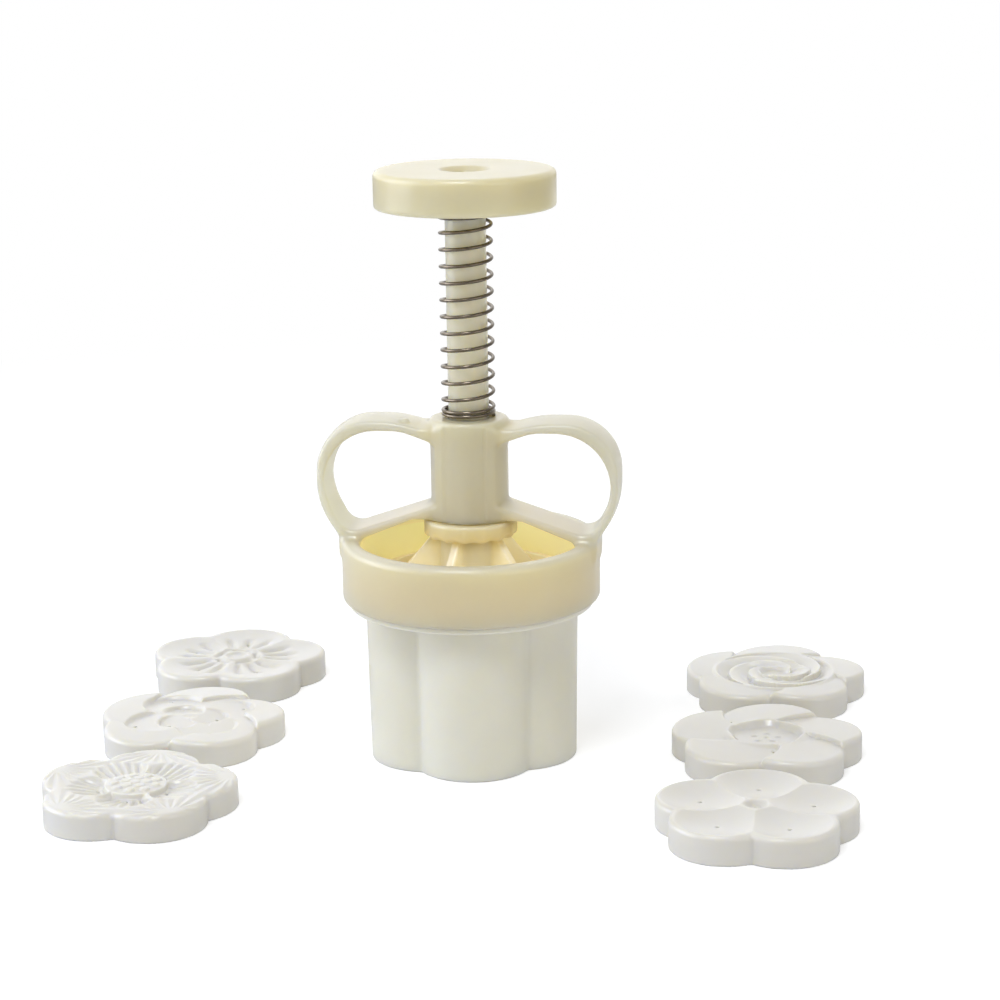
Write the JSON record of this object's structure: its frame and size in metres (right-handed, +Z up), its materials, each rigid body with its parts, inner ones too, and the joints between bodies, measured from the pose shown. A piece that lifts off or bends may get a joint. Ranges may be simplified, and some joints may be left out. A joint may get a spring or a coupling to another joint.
{
  "type": "mooncake press",
  "caption": "Hand press for flower-shaped cakes: sprung plunger in a finger-loop grip over a petal barrel, with loose patterned stamps.",
  "frame": {"origin": "middle of the set's footprint at table height, which is the plunger's axis at the barrel's mouth", "axes": "+Z up along the plunger, from the barrel's mouth to the knob; X through the two finger loops"},
  "size_m": [0.2062, 0.1572, 0.1555],
  "materials": {
    "ivory_plastic": "satin, slightly translucent",
    "white_plastic": "frosted, translucent",
    "amber_plastic": "satin, slightly translucent",
    "stamp_plastic": "satin, translucent",
    "spring_steel": "drawn wire, polished",
    "screw_steel": "plated"
  },
  "bodies": {
    "press_body": {"grip_body": "ivory_plastic", "petal_barrel": "white_plastic", "return_spring": "spring_steel"},
    "plunger": {"knob": "ivory_plastic", "plunger_rod": "ivory_plastic", "press_head": "amber_plastic", "rod_screws": "screw_steel"},
    "blossom_stamp": {"blossom_stamp": "stamp_plastic"},
    "swirl_stamp": {"swirl_stamp": "stamp_plastic"},
    "lotus_stamp": {"lotus_stamp": "stamp_plastic"},
    "rose_stamp": {"rose_stamp": "stamp_plastic"},
    "pinwheel_stamp": {"pinwheel_stamp": "stamp_plastic"},
    "plain_stamp": {"plain_stamp": "stamp_plastic"}
  },
  "joints": [
    {"name": "plunger_press", "type": "slide", "parent": "press_body", "child": "plunger", "axis": [0, 0, -1], "range_m": [0, 0.036], "stiffness_N_per_m": 250, "springref_m": -0.02, "deforming": ["return_spring"]},
    {"name": "blossom_stamp_lift", "type": "slide", "parent": "press_body", "child": "blossom_stamp", "axis": [0, 0, 1], "range_m": [0, 0.04]},
    {"name": "swirl_stamp_lift", "type": "slide", "parent": "press_body", "child": "swirl_stamp", "axis": [0, 0, 1], "range_m": [0, 0.04]},
    {"name": "lotus_stamp_lift", "type": "slide", "parent": "press_body", "child": "lotus_stamp", "axis": [0, 0, 1], "range_m": [0, 0.04]},
    {"name": "rose_stamp_lift", "type": "slide", "parent": "press_body", "child": "rose_stamp", "axis": [0, 0, 1], "range_m": [0, 0.04]},
    {"name": "pinwheel_stamp_lift", "type": "slide", "parent": "press_body", "child": "pinwheel_stamp", "axis": [0, 0, 1], "range_m": [0, 0.04]},
    {"name": "plain_stamp_lift", "type": "slide", "parent": "press_body", "child": "plain_stamp", "axis": [0, 0, 1], "range_m": [0, 0.04]}
  ]
}
